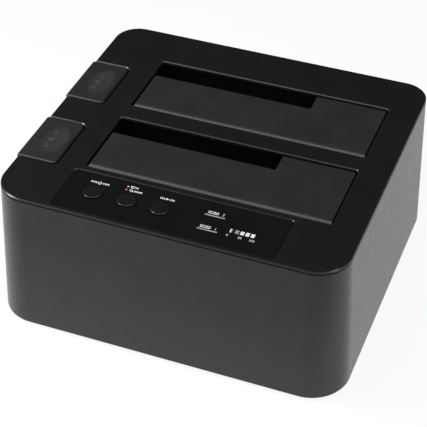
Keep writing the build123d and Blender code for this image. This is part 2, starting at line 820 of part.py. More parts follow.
def make_lever(bay_y):
    """The rocker that a paddle presses at its tail, with the bar that lifts the drive."""
    y = paddle_y(bay_y)
    tail, tip = stem_x - lever_tail, lever_pivot_x + lift_bar_far
    with BuildPart() as lever:
        block((tail, tip), around(y, lever_width), (lever_bottom, lever_top))
        bar_depth = (y - lever_width / 2, bay_back(bay_y) - lift_bar_margin)
        block((lever_pivot_x + lift_bar_near, tip), bar_depth, (lever_bottom, lever_top))
        ends = lever.edges().filter_by(Axis.Y).group_by(Axis.X)
        fillet(ends[0] + ends[-1], lever_end_radius)
        with BuildSketch(Plane.XZ.offset(-y)):
            with Locations((lever_pivot_x, lever_pivot_z)):
                Circle(lever_hub_radius)
        extrude(amount=lever_width / 2, both=True)
        with BuildSketch(Plane.XZ.offset(-y)):
            with Locations((lever_pivot_x, lever_pivot_z)):
                Circle(lever_pin_radius + running_gap)
        extrude(amount=lever_width / 2, both=True, mode=Mode.SUBTRACT)
    return lever


def make_lever_pin(bay_y):
    with BuildPart() as lever_pin:
        with BuildSketch(Plane.XZ.offset(-paddle_y(bay_y))):
            with Locations((lever_pivot_x, lever_pivot_z)):
                Circle(lever_pin_radius)
        extrude(amount=lever_width / 2 + moving_gap + bracket_thickness, both=True)
    return lever_pin


def make_base_plate():
    """The floor of the case, with foot seats, standoffs, vents and the brackets of the eject levers."""
    with BuildPart() as base_plate:
        with BuildSketch(Plane.XY.offset(foot_stand)):
            draw_outline(lean_at(base_top) - wall - still_gap, swell_at(base_top))
        extrude(amount=base_thickness)
        for x, y in corners:
            rod(x, y, case_boss_radius, base_top, post_bottom)
            foot_top = foot_stand + foot_seat_depth
            rod(x, y, foot_radius + seat_gap, foot_stand, foot_top, mode=Mode.SUBTRACT)
            rod(x, y, case_head_radius + still_gap, foot_top, case_screw_seat, mode=Mode.SUBTRACT)
            rod(x, y, case_screw_radius + screw_pass_gap, case_screw_seat, post_bottom, mode=Mode.SUBTRACT)
        for x, y in main_board_screw_places():
            rod(x, y, standoff_radius, base_top, main_board_bottom)
            pilot_bottom = main_board_top - small_screw_length - still_gap
            rod(x, y, small_screw_radius + seat_gap, pilot_bottom, main_board_bottom, mode=Mode.SUBTRACT)
        for bay_y in bays.values():
            inner = lever_width / 2 + moving_gap
            for y in around(paddle_y(bay_y), 2 * inner + bracket_thickness):
                with BuildSketch(Plane.XZ.offset(-y)):
                    with Locations((lever_pivot_x, base_top)):
                        height = lever_pivot_z - base_top
                        Rectangle(bracket_length, height, align=(Align.CENTER, Align.MIN))
                    with Locations((lever_pivot_x, lever_pivot_z)):
                        Circle(bracket_crown)
                        Circle(lever_pin_radius + seat_gap, mode=Mode.SUBTRACT)
                extrude(amount=bracket_thickness / 2, both=True)
            with BuildSketch(Plane.XY.offset(foot_stand)):
                with Locations((vent_x, bay_y)):
                    with GridLocations(vent_pitch, vent_pitch, vent_count, 1):
                        SlotOverall(vent_length, vent_width, rotation=90)
            extrude(amount=base_thickness, mode=Mode.SUBTRACT)
    return base_plate


def make_foot(x, y):
    with BuildPart() as foot:
        rod(x, y, foot_radius, 0, foot_stand + foot_seat_depth)
        fillet(foot.faces().sort_by(Axis.Z)[0].edges(), foot_edge_radius)
    return foot


def make_screws(places, seat, way, screw_radius, length, head_radius, head_height):
    """Pan-head screws whose heads bear on one level, driven up (way 1) or down (way -1)."""
    with BuildPart() as screws:
        for x, y in places:
            rod(x, y, screw_radius, *sorted((seat, seat + way * length)))
            head_end = seat - way * head_height
            rod(x, y, head_radius, *sorted((seat, head_end)))
            driver = sorted((head_end, head_end + way * head_height * driver_depth_share))
            rod(x, y, head_radius * driver_radius_share, *driver, mode=Mode.SUBTRACT)
    return screws


def make_small_screws(places, seat, way):
    sizes = small_screw_radius, small_screw_length, small_head_radius, small_head_height
    return make_screws(places, seat, way, *sizes)


def make_control_panel():
    """The glossy strip, with a hole for each button and a window for each lens."""
    with BuildPart() as control_panel:
        with BuildSketch(Plane.XY.offset(panel_bottom)):
            with Locations((panel_x, panel_y)):
                RectangleRounded(panel_length, panel_depth, panel_corner)
        extrude(amount=panel_thickness)
        for x in buttons.values():
            rod(x, button_y, button_radius + button_ring, panel_bottom, panel_top, mode=Mode.SUBTRACT)
        cut_lens_windows(panel_bottom, panel_top)
    return control_panel


def make_button(x):
    """A round button with the flange that keeps it in and the stem that presses its switch."""
    with BuildPart() as button:
        rod(x, button_y, button_radius, button_flange_bottom, button_top)
        fillet(button.faces().sort_by(Axis.Z)[-1].edges(), button_edge_radius)
        rod(x, button_y, button_flange_radius, button_flange_bottom, button_flange_top)
        rod(x, button_y, button_stem_radius, plunger_top, button_flange_bottom)
    return button


def make_switch(x):
    with BuildPart() as switch:
        block(around(x, switch_size), around(button_y, switch_size), (panel_board_top, switch_top))
        well_low = switch_top - plunger_hidden - button_travel - still_gap
        rod(x, button_y, plunger_radius + 2 * running_gap, well_low, switch_top, mode=Mode.SUBTRACT)
    return switch


def make_plunger(x):
    with BuildPart() as plunger:
        rod(x, button_y, plunger_radius, switch_top - plunger_hidden, plunger_top)
    return plunger


def make_mode_lenses():
    with BuildPart() as mode_lenses:
        for x, y in mode_lens_places():
            rod(x, y, mode_lens_radius, lens_bottom, panel_top)
    return mode_lenses


def make_bar_lenses(places, length, width):
    with BuildPart() as lenses:
        for x, y in places:
            block(around(x, length), around(y, width), (lens_bottom, panel_top))
    return lenses


def make_lamps():
    """One small lamp on the panel board under each lens."""
    with BuildPart() as lamps:
        for x, y in mode_lens_places() + bay_lens_places() + progress_lens_places():
            height = (panel_board_top, panel_board_top + lamp_height)
            block(around(x, lamp_length), around(y, lamp_width), height)
    return lamps


def make_panel_board():
    with BuildPart() as panel_board:
        with BuildSketch(Plane.XY.offset(panel_board_bottom)):
            with Locations((panel_board_x, panel_board_y)):
                RectangleRounded(panel_board_length, panel_board_depth, board_corner)
            with Locations(*panel_board_screw_places()):
                Circle(small_screw_radius + screw_pass_gap, mode=Mode.SUBTRACT)
        extrude(amount=board_thickness)
    return panel_board


def make_main_board():
    length, depth = main_board_right - main_board_left, main_board_back - main_board_front
    middle = ((main_board_left + main_board_right) / 2, (main_board_front + main_board_back) / 2)
    with BuildPart() as main_board:
        with BuildSketch(Plane.XY.offset(main_board_bottom)):
            with Locations(middle):
                RectangleRounded(length, depth, board_corner)
            with Locations(*main_board_screw_places()):
                Circle(small_screw_radius + screw_pass_gap, mode=Mode.SUBTRACT)
        extrude(amount=board_thickness)
    return main_board


def make_receptacle(bay_y):
    """The drive connector: a short signal slot and a longer power slot, each with its key."""
    y = receptacle_y(bay_y)
    left, right = around(receptacle_x, receptacle_length)
    top = well_floor_top + receptacle_rise
    signal = (left + contact_slot_end, left + contact_slot_end + signal_slot_length)
    power = (signal[1] + contact_slot_split, right - contact_slot_end)
    with BuildPart() as receptacle:
        block((left, right), around(y, receptacle_width), (main_board_top, top))
        base_height = (main_board_top, main_board_top + receptacle_base_height)
        block(around(receptacle_x, receptacle_base_length), around(y, receptacle_base_width), base_height)
        slot_height = (top - contact_slot_depth, top)
        for slot in (signal, power):
            block(slot, around(y, contact_slot_width), slot_height, mode=Mode.SUBTRACT)
            key = (slot[1] - contact_key, slot[1])
            key_depth = (y - contact_slot_width / 2 - contact_key, y)
            block(key, key_depth, slot_height, mode=Mode.SUBTRACT)
    return receptacle


def make_usb_port():
    """A tall two-step socket: a tongue in the wide lower mouth and a thin one in the narrow upper mouth."""
    x, face, low = board_x(usb_share), port_face(usb_height), main_board_top
    mouth_low = low + usb_floor
    mouth_high = mouth_low + usb_mouth_height
    mouth_depth = (face - usb_mouth_depth, face)
    with BuildPart() as usb_port:
        block(around(x, usb_length), (face - usb_reach, face), (low, low + usb_height))
        block(around(x, usb_mouth_length), mouth_depth, (mouth_low, mouth_high), mode=Mode.SUBTRACT)
        upper = (mouth_high, mouth_high + usb_upper_height)
        block(around(x, usb_upper_length), mouth_depth, upper, mode=Mode.SUBTRACT)
        tongue_depth = (face - usb_mouth_depth, face - port_recess)
        tongue = around((mouth_low + mouth_high) / 2, usb_tongue_height)
        block(around(x, usb_tongue_length), tongue_depth, tongue)
        upper_tongue = around(mouth_high + usb_upper_height / 2, usb_upper_tongue_height)
        block(around(x, usb_upper_tongue_length), tongue_depth, upper_tongue)
    return usb_port


def make_esata_port():
    x, face, low = board_x(esata_share), port_face(esata_height), main_board_top
    with BuildPart() as esata_port:
        block(around(x, esata_length), (face - esata_reach, face), (low, low + esata_height))
        mouth = around(x, esata_length - 2 * esata_wall)
        mouth_height = (low + esata_wall, low + esata_height - esata_wall)
        block(mouth, (face - esata_mouth_depth, face), mouth_height, mode=Mode.SUBTRACT)
        tongue = around(x, esata_length - 2 * esata_wall - 2 * esata_tongue_inset)
        tongue_height = around(low + esata_height / 2, esata_tongue_height)
        block(tongue, (face - esata_mouth_depth, face - port_recess), tongue_height)
    return esata_port


def make_power_jack():
    x, face, low = board_x(jack_share), port_face(jack_height), main_board_top
    with BuildPart() as power_jack:
        block(around(x, jack_length), (face - jack_reach, face), (low, low + jack_height))
        for radius, mode in ((jack_bore_radius, Mode.SUBTRACT), (jack_pin_radius, Mode.ADD)):
            with BuildSketch(Plane.XZ.offset(-face + jack_bore_depth)):
                with Locations((x, low + jack_height / 2)):
                    Circle(radius)
            extrude(amount=-jack_bore_depth, mode=mode)
    return power_jack


def make_box_on_board(x, y, length, width, height, count=1, pitch=0):
    """Square components in a row on the main board."""
    with BuildPart() as boxes:
        for i in range(count):
            sides = around(x + i * pitch, length)
            block(sides, around(y, width), (main_board_top, main_board_top + height))
    return boxes


def make_capacitors():
    first, y = board_x(capacitor_share), main_board_back - capacitor_setback
    with BuildPart() as capacitors:
        for x in (first, first + capacitor_pitch):
            rod(x, y, capacitor_radius, main_board_top, main_board_top + capacitor_height)
    return capacitors


def make_header(low):
    x, y = board_x(header_share), main_board_front + header_setback
    with BuildPart() as header:
        block(around(x, header_length), around(y, header_width), (low, low + header_height))
    return header


def make_ribbon():
    """The flat cable from the panel board down to the main board, bowed a little to the front."""
    low, high = main_board_top + header_height, panel_board_bottom - header_height
    middle = (low + high) / 2
    front, back = around(main_board_front + header_setback, ribbon_thickness)
    with BuildPart() as ribbon:
        with BuildSketch(Plane.YZ.offset(board_x(header_share) - ribbon_width / 2)):
            with BuildLine():
                ThreePointArc((front, low), (front - ribbon_bow, middle), (front, high))
                Line((front, high), (back, high))
                ThreePointArc((back, high), (back - ribbon_bow, middle), (back, low))
                Line((back, low), (front, low))
            make_face()
        extrude(amount=ribbon_width)
    return ribbon


progress_size = (progress_lens_length, progress_lens_width)
well_screw_places = [place for bay_y in bays.values() for place in tab_places(bay_y)]
case_screw_sizes = case_screw_radius, case_screw_length, case_head_radius, case_head_height
memory_size = (memory_chip_length, memory_chip_width, memory_chip_height)
memory_chip_x = board_x(memory_chip_share)
memory_chip_y = main_board_front + memory_chip_setback
crystal_size = (crystal_length, crystal_width, crystal_height)
bridge_size = (bridge_chip_size, bridge_chip_size, bridge_chip_height)
inductor_sizes = (inductor_size, inductor_size, inductor_height)
inductor_y = main_board_front + inductor_setback
pieces = {
    "body_shell": make_body_shell(),
    "top_cover": make_top_cover(),
    "base_plate": make_base_plate(),
    "front_left_foot": make_foot(-post_x, -post_y),
    "front_right_foot": make_foot(post_x, -post_y),
    "rear_left_foot": make_foot(-post_x, post_y),
    "rear_right_foot": make_foot(post_x, post_y),
    "case_screws": make_screws(corners, case_screw_seat, 1, *case_screw_sizes),
    "well_screws": make_small_screws(well_screw_places, tab_top - tab_thickness, 1),
    "control_panel": make_control_panel(),
    "mode_lenses": make_mode_lenses(),
    "bay_lenses": make_bar_lenses(bay_lens_places(), bay_lens_length, bay_lens_width),
    "progress_lenses": make_bar_lenses(progress_lens_places(), *progress_size),
    "indicator_lamps": make_lamps(),
    "panel_board": make_panel_board(),
    "panel_board_screws": make_small_screws(panel_board_screw_places(), panel_board_bottom, 1),
    "panel_header": make_header(panel_board_bottom - header_height),
    "panel_ribbon": make_ribbon(),
    "main_header": make_header(main_board_top),
    "main_board": make_main_board(),
    "main_board_screws": make_small_screws(main_board_screw_places(), main_board_top, -1),
    "usb_port": make_usb_port(),
    "esata_port": make_esata_port(),
    "power_jack": make_power_jack(),
    "bridge_chip": make_box_on_board(bridge_chip_x, middle_y, *bridge_size),
    "memory_chips": make_box_on_board(memory_chip_x, memory_chip_y, *memory_size, 2, memory_chip_pitch),
    "crystal": make_box_on_board(board_x(crystal_share), middle_y, *crystal_size),
    "capacitors": make_capacitors(),
    "inductor": make_box_on_board(board_x(inductor_share), inductor_y, *inductor_sizes),
}
for name, x in buttons.items():
    pieces[f"{name}_button"] = make_button(x)
    pieces[f"{name}_switch"] = make_switch(x)
    pieces[f"{name}_plunger"] = make_plunger(x)
for number, bay_y in bays.items():
    pieces[f"bay_{number}_well"] = make_well(bay_y)
    pieces[f"bay_{number}_flap"] = make_flap(bay_y)
    pieces[f"bay_{number}_hinge_pin"] = make_hinge_pin(bay_y)
    pieces[f"bay_{number}_flap_spring"] = make_flap_spring(bay_y)
    pieces[f"sata_receptacle_{number}"] = make_receptacle(bay_y)
    pieces[f"eject_{number}_paddle"] = make_paddle(bay_y)
    pieces[f"eject_{number}_spring"] = make_return_spring(bay_y)
    pieces[f"eject_{number}_lever"] = make_lever(bay_y)
    pieces[f"eject_{number}_lever_pin"] = make_lever_pin(bay_y)

os.makedirs("parts", exist_ok=True)
for name, piece in pieces.items():
    piece.part.label = name
    export_step(piece.part, f"parts/{name}.step")
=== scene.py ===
import bmesh
import bpy
from math import cos, radians, sin, sqrt
from mathutils import Matrix, Vector


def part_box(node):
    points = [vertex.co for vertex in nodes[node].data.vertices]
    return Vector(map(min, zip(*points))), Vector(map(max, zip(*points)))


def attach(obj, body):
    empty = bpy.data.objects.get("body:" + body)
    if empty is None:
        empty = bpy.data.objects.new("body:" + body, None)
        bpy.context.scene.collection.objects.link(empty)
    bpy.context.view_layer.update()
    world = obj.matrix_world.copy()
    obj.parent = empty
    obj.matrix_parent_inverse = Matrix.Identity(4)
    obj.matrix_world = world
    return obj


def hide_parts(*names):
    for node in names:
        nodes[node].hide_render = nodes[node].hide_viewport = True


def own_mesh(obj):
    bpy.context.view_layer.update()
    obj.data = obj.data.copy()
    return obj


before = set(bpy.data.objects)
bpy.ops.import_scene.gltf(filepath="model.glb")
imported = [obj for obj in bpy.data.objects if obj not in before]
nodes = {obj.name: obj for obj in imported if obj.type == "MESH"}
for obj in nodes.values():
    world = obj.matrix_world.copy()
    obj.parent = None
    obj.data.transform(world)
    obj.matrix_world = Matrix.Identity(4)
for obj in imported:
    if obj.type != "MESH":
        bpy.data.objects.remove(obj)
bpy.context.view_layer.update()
scene = bpy.context.scene

MM = 0.001  # Places and sizes below are in millimetres, in the frame's axes, and angles in degrees.
BAYS = (1, 2)
KEYS = ("power", "mode", "start")
CORNERS = ((-1, -1), (1, -1), (1, 1), (-1, 1))
WHITE = (1, 1, 1)

# Camera
FRAME_SIDE_PIXELS = 427
FOCAL_PIXELS = 1378.91
SENSOR_WIDTH = 36
CAMERA_AZIMUTH = 20.87
CAMERA_ELEVATION = 39.17
CAMERA_ROLL = 0.16
CAMERA_PLACE = (163.25, -436.68, 404.51)
CLIP_START = 10
CLIP_END = 50000

# Lights, which hang around a point in the object
LIGHT_TARGET = (0, 0, 40)
SOFTBOXES = {
    "left": dict(direction=(-0.74, -0.38, 0.55), distance=450, sides=(150, 150), power=1.45),
    "right": dict(direction=(0.705, -0.16, 0.69), distance=700, sides=(120, 120), power=0.6),
    "overhead": dict(direction=(0, -0.3, 1), distance=400, sides=(900, 230), power=1.25),
}

# Room, whose light falls off towards a dark direction, between two cosines of the angle to it
ROOM_STRENGTH = 0.38
ROOM_COSINE = 0.6
DARK_STRENGTH = 0.05
DARK_COSINE = 0.91
DARK_DIRECTION = (-0.02, 0.84, 0.53)

# Floor: how much of it glows where it is seen and where it is mirrored, and how strongly the mirrored part
# glows at two places in front of the object
FLOOR_SIDE = 6000
FLOOR_COLOUR = (0.92, 0.92, 0.92)
FLOOR_SEEN_GLOW = 0.9
FLOOR_MIRRORED_GLOW = 0.75
FLOOR_GLOW_PLACES = (-140, -70)
FLOOR_GLOW_STRENGTHS = (0.45, 0.93)

# Finishes: a linear colour, its roughness, and the size and depth of the grain. Mottle and rough_spread are
# how far tone and roughness vary, and patch is the size of a patch of one tone, across which the gloss has
# several patches.
MOTTLE = 0.12
PATCH = 14.0
ROUGH_SPREAD = 0.06
GLOSS_PATCHES = 3
NOISE_DETAIL = 2.0
NOISE_ENDS = (0.3, 0.7)
FINISHES = {
    "case_plastic": dict(colour=(0.015, 0.015, 0.0155), roughness=0.28, grain=0.25, depth=0.002,
                         rough_spread=0.015),
    "cover_plastic": dict(colour=(0.0068, 0.0068, 0.0068), roughness=0.28, grain=0.3, depth=0.004,
                          rough_spread=0.012),
    "flap_plastic": dict(colour=(0.019, 0.019, 0.0194), roughness=0.28, grain=0.3, depth=0.004,
                         rough_spread=0.012),
    "paddle_plastic": dict(colour=(0.0175, 0.0175, 0.0178), roughness=0.32, grain=0.25, depth=0.004,
                           rough_spread=0.015),
    "strip_plastic": dict(colour=(0.0045, 0.0045, 0.0046), roughness=0.1, grain=0.8, depth=0.001,
                          rough_spread=0.01),
    "button_plastic": dict(colour=(0.0067, 0.0067, 0.0069), roughness=0.2, grain=0.4, depth=0.002,
                           rough_spread=0.04),
    # Painted shade: the wells are near black with weak specular, for the shade deep in the slots.
    "well_plastic": dict(colour=(0.0008, 0.0008, 0.0008), roughness=0.6, grain=0.3, depth=0.01,
                         Specular_IOR_Level=0.1),
    "base_plastic": dict(colour=(0.014, 0.014, 0.0145), roughness=0.5, grain=0.3, depth=0.01),
    "foot_rubber": dict(colour=(0.02, 0.02, 0.02), roughness=0.75, grain=0.2, depth=0.02),
    "plated_steel": dict(colour=(0.6, 0.6, 0.61), roughness=0.3, grain=0.12, depth=0.003,
                         stretch=(1, 1, 0.15), Metallic=1.0),
    "spring_wire": dict(colour=(0.11, 0.11, 0.115), roughness=0.35, grain=0.12, depth=0.002, Metallic=1.0),
    "can_metal": dict(colour=(0.75, 0.75, 0.76), roughness=0.25, grain=0.3, depth=0.003, Metallic=1.0),
    "inner_plastic": dict(colour=(0.012, 0.012, 0.012), roughness=0.4, grain=0.3, depth=0.005),
    "board_lacquer": dict(colour=(0.02, 0.11, 0.045), roughness=0.3, grain=0.6, depth=0.01, mottle=0.3,
                          patch=2.5),
    "ribbon_plastic": dict(colour=(0.4, 0.4, 0.41), roughness=0.5, grain=1.0, depth=0.05,
                           stretch=(1, 0.01, 0.01)),
    "lever_plastic": dict(colour=(0.5, 0.5, 0.47), roughness=0.4, grain=0.3, depth=0.004),
    "lens_plastic": dict(colour=(0.26, 0.26, 0.25), roughness=0.3, grain=0.4, depth=0.003, mottle=0.2,
                         patch=0.8),
    "progress_lens_plastic": dict(colour=(0.74, 0.74, 0.71), roughness=0.3, grain=0.4, depth=0.003),
    "mode_lens_plastic": dict(colour=(0.52, 0.15, 0.05), roughness=0.3, grain=0.4, depth=0.003, mottle=0),
    "white_ink": dict(colour=(0.64, 0.64, 0.64), roughness=0.5, grain=0.15, depth=0.004, mottle=0.2,
                      patch=0.6),
    # Painted highlight: the raised eject marks are paler than the paddle plastic they are moulded in.
    "highlit_eject_mark_plastic": dict(colour=(0.054, 0.054, 0.055), roughness=0.25, grain=0.25, depth=0.004),
}

# The nodes that wear each finish
WORN = {
    "case_plastic": ["body_shell"],
    "cover_plastic": ["top_cover"],
    "flap_plastic": [f"bay_{n}_flap" for n in BAYS],
    "strip_plastic": ["control_panel"],
    "button_plastic": [f"{key}_button" for key in KEYS],
    "well_plastic": [f"bay_{n}_well" for n in BAYS],
    "base_plastic": ["base_plate"],
    "foot_rubber": [f"{end}_{side}_foot" for end in ("front", "rear") for side in ("left", "right")],
    "plated_steel": ["case_screws", "well_screws", "panel_board_screws", "main_board_screws", "crystal",
                     "esata_port", "usb_port", *(f"bay_{n}_hinge_pin" for n in BAYS),
                     *(f"eject_{n}_lever_pin" for n in BAYS)],
    "spring_wire": [name for n in BAYS for name in (f"bay_{n}_flap_spring", f"eject_{n}_spring")],
    "can_metal": ["capacitors"],
    "inner_plastic": ["sata_receptacle_1", "sata_receptacle_2", "power_jack", "bridge_chip", "memory_chips",
                      "inductor", "panel_header", "main_header",
                      *(f"{key}_{what}" for key in KEYS for what in ("switch", "plunger"))],
    "board_lacquer": ["main_board", "panel_board"],
    "ribbon_plastic": ["panel_ribbon"],
    "lever_plastic": [f"eject_{n}_lever" for n in BAYS],
    "lens_plastic": ["bay_lenses", "indicator_lamps"],
}

# Lenses: the grey of each progress segment, after the share of the row where it starts
PROGRESS_TONES = ((0, 0.8), (0.07, 0.03), (0.2, 0.35), (0.4, 1))
REAR_LENS_COLOUR = (0.35, 0.39, 0.42)

# The hollow in a paddle's top, painted paler as a painted sheen, and the shares of its reach over which that
# fades
DISH_SHEEN_COLOUR = (0.027, 0.027, 0.0275)
DISH_REACH_X = 6.0
DISH_REACH_Y = 10.8
DISH_DEPTH = 0.45
DISH_SHIFT = 1.3
DISH_EDGE_SHARES = (1.0, 0.7)

# Marks on the strip. Shifts, rises and drops go right, back and front, from the middle of the node beside a
# mark or of the mark itself, and the bay marks rise from the ends of their lenses. Each row of strokes has a
# start and a count.
INK_HEIGHT = 0.04
INK_SINK = 0.02
LINE = 0.36
THIN_LINE = 0.25
DRIVE_LINE = 0.28
STROKE_WIDTH = 0.42
STROKE_LENGTH = 1.0
STROKE_PITCH = 0.72
BUTTON_MARK_RISE = 6.4

POWER_MARK_SHIFT = 0.3
RING_RADIUS = 0.66
RING_DROP = 0.1
RING_ANGLES = (125, 415)
RING_STEPS = 24
POWER_BAR_LENGTH = 0.8
POWER_BAR_RISE = 0.5
POWER_STROKES = ((-3.7, 4), (1.55, 4))

START_MARK_SHIFT = 0.5
START_TIP = 0.75
START_BACK = -0.6
START_HALF_WIDTH = 0.7
START_STROKES = ((-2.75, 3), (1.35, 3))

SCREEN_PLACE = (2.0, 1.1)
SCREEN_RISE = 0.15
SCREEN_SIZE = (1.5, 0.8)
STAND_DROP = 0.6
STAND_SIZE = (1.1, 0.22)
SCREEN_STROKES = ((1.45, 2),)

SHEETS_PLACE = (2.2, -1.1)
BACK_SHEET_PLACE = (-0.25, 0.15)
BACK_SHEET_SIZE = (0.8, 0.8)
FRONT_SHEET_PLACE = (0.4, -0.2)
FRONT_SHEET_SIZE = (0.8, 0.9)
SHEETS_STROKES = ((1.5, 5),)

BAY_MARK_SHIFT = 0.2
BAY_1_MARK_RISE = 2.0
BAY_2_MARK_RISE = 1.4
DRIVE_SHIFT = -1.4
DRIVE_SIZE = (4.0, 1.1)
DRIVE_DOT_SHIFT = -2.5
DRIVE_DOT_SIZE = (0.5, 0.35)
DRIVE_BAR_SHIFT = -0.8
DRIVE_BAR_SIZE = (1.4, 0.28)

# Numbers, whose digits take a share of the type's height
DIGIT_HEIGHT_SHARE = 0.72
DIGIT_STEPS = 4
BAY_NUMBER_HEIGHT = 1.4
BAY_NUMBER_SHIFT = 2.8
SCALE_HEIGHT = 1.15
SCALE_DROP = 3.0
SCALE_SHIFTS = {"0": -5.2, "50": -0.1, "100": 4.7}

# Raised marks in the paddles
RAISED_HEIGHT = 0.2
RAISED_SINK = 0.1
EJECT_TIP = -1.5
EJECT_BACK = 0.6
EJECT_HALF_WIDTH = 1.8
EJECT_BAR_SHIFT = 1.4
EJECT_BAR_WIDTH = 0.6
EJECT_STROKE_SIZE = (2.4, 0.55)
EJECT_STROKE_RISES = (-5.2, -3.6, 3.6, 5.2)


def opaque(colour):
    return (*colour, 1)


def middle(name):
    """The centre of a node's box and its top, in millimetres."""
    low, high = (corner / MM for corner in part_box(name))
    return (low.x + high.x) / 2, (low.y + high.y) / 2, high.z


# Camera

def place_camera():
    azimuth, elevation, roll = map(radians, (CAMERA_AZIMUTH, CAMERA_ELEVATION, CAMERA_ROLL))
    back = Vector((sin(azimuth) * cos(elevation), -cos(azimuth) * cos(elevation), sin(elevation)))
    level = Vector((cos(azimuth), sin(azimuth), 0))
    raised = back.cross(level)
    right = cos(roll) * level + sin(roll) * raised
    up = cos(roll) * raised - sin(roll) * level
    data = bpy.data.cameras.new("camera")
    data.sensor_width = SENSOR_WIDTH
    data.lens = FOCAL_PIXELS / FRAME_SIDE_PIXELS * SENSOR_WIDTH
    data.clip_start = CLIP_START * MM
    data.clip_end = CLIP_END * MM
    camera = bpy.data.objects.new("camera", data)
    turn = Matrix((right, up, back)).transposed().to_4x4()
    camera.matrix_world = Matrix.Translation(Vector(CAMERA_PLACE) * MM) @ turn
    scene.collection.objects.link(camera)
    scene.camera = camera


# Shader nodes

def add_node(tree, kind, inputs, **settings):
    """A new node with its settings. Each given input is a value or another node's output."""
    node = tree.nodes.new("ShaderNode" + kind)
    for name, value in settings.items():
        setattr(node, name, value)
    for key, value in inputs.items():
        if isinstance(value, bpy.types.NodeSocket):
            tree.links.new(value, node.inputs[key])
        else:
            node.inputs[key].default_value = value
    return node


def remap(tree, value, source, target, **settings):
    """A value brought from between two ends to between two others."""
    inputs = {"Value": value, "From Min": source[0], "From Max": source[1], "To Min": target[0],
              "To Max": target[1]}
    return add_node(tree, "MapRange", inputs, **settings).outputs["Result"]


def blend(tree, share, first, second, **settings):
    """A mix of two colours."""
    inputs = {"Factor": share, "A": first, "B": second}
    return add_node(tree, "Mix", inputs, data_type="RGBA", **settings).outputs["Result"]


def object_place(tree):
    return add_node(tree, "TexCoord", {}).outputs["Object"]


def place_along(tree, axis):
    return add_node(tree, "SeparateXYZ", {0: object_place(tree)}).outputs[axis]


def noise(tree, place, size, stretch=None):
    """Noise whose patches are about a size across."""
    if stretch:
        place = add_node(tree, "Mapping", {"Vector": place, "Scale": stretch}).outputs[0]
    inputs = {"Vector": place, "Scale": 1 / (size * MM), "Detail": NOISE_DETAIL}
    return add_node(tree, "TexNoise", inputs).outputs["Fac"]


# Lights, world and floor

def hang_softbox(name, direction, distance, sides, power):
    """A soft light in a direction from the target, which it faces."""
    data = bpy.data.lights.new(name, "AREA")
    data.shape = "RECTANGLE"
    data.size, data.size_y = (side * MM for side in sides)
    data.energy = power
    light = bpy.data.objects.new(name, data)
    away = Vector(direction).normalized()
    light.location = (Vector(LIGHT_TARGET) + away * distance) * MM
    light.rotation_mode = "QUATERNION"
    light.rotation_quaternion = away.to_track_quat("Z", "Y")
    scene.collection.objects.link(light)


def hang_softboxes():
    for name, values in SOFTBOXES.items():
        hang_softbox(name, **values)


def make_world():
    """White behind the object, and a soft room, dark where the flat top mirrors it."""
    world = bpy.data.worlds.new("studio")
    world.use_nodes = True
    tree = world.node_tree
    tree.nodes.clear()
    place = add_node(tree, "TexCoord", {}).outputs["Generated"]
    dark = Vector(DARK_DIRECTION).normalized()
    nearness = add_node(tree, "VectorMath", {0: place, 1: dark}, operation="DOT_PRODUCT").outputs["Value"]
    level = remap(tree, nearness, (ROOM_COSINE, DARK_COSINE), (ROOM_STRENGTH, DARK_STRENGTH),
                  interpolation_type="SMOOTHSTEP")
    room = add_node(tree, "Background", {"Color": opaque(WHITE), "Strength": level})
    white = add_node(tree, "Background", {"Color": opaque(WHITE)})
    ray = add_node(tree, "LightPath", {})
    inputs = {"Fac": ray.outputs["Is Camera Ray"], 1: room.outputs[0], 2: white.outputs[0]}
    mixed = add_node(tree, "MixShader", inputs)
    add_node(tree, "OutputWorld", {"Surface": mixed.outputs[0]})
    scene.world = world


def floor_material():
    """A white that keeps a faint shadow and glows, less so where its front part is mirrored."""
    material = bpy.data.materials.new("floor")
    material.use_nodes = True
    tree = material.node_tree
    tree.nodes.clear()
    ray = add_node(tree, "LightPath", {})
    camera_ray = ray.outputs["Is Camera Ray"]
    places = [place * MM for place in FLOOR_GLOW_PLACES]
    mirrored = remap(tree, place_along(tree, "Y"), places, FLOOR_GLOW_STRENGTHS)
    strength = add_node(tree, "Math", {0: mirrored, 1: camera_ray}, operation="MAXIMUM").outputs[0]
    seen = add_node(tree, "Math", {0: camera_ray, 1: FLOOR_SEEN_GLOW}, operation="MULTIPLY").outputs[0]
    inputs = {0: ray.outputs["Is Glossy Ray"], 1: FLOOR_MIRRORED_GLOW, 2: seen}
    share = add_node(tree, "Math", inputs, operation="MULTIPLY_ADD").outputs[0]
    paint = add_node(tree, "BsdfDiffuse", {"Color": opaque(FLOOR_COLOUR)})
    glow = add_node(tree, "Emission", {"Strength": strength})
    mixed = add_node(tree, "MixShader", {"Fac": share, 1: paint.outputs[0], 2: glow.outputs[0]})
    add_node(tree, "OutputMaterial", {"Surface": mixed.outputs[0]})
    return material


def make_floor():
    mesh = bpy.data.meshes.new("floor")
    reach = FLOOR_SIDE / 2 * MM
    mesh.from_pydata([(i * reach, j * reach, 0) for i, j in CORNERS], [], [(0, 1, 2, 3)])
    mesh.materials.append(floor_material())
    floor = bpy.data.objects.new("floor", mesh)
    scene.collection.objects.link(floor)


# Materials

def spread(tree, value, low, high):
    """A noise value brought between two ends."""
    return remap(tree, value, NOISE_ENDS, (low, high))


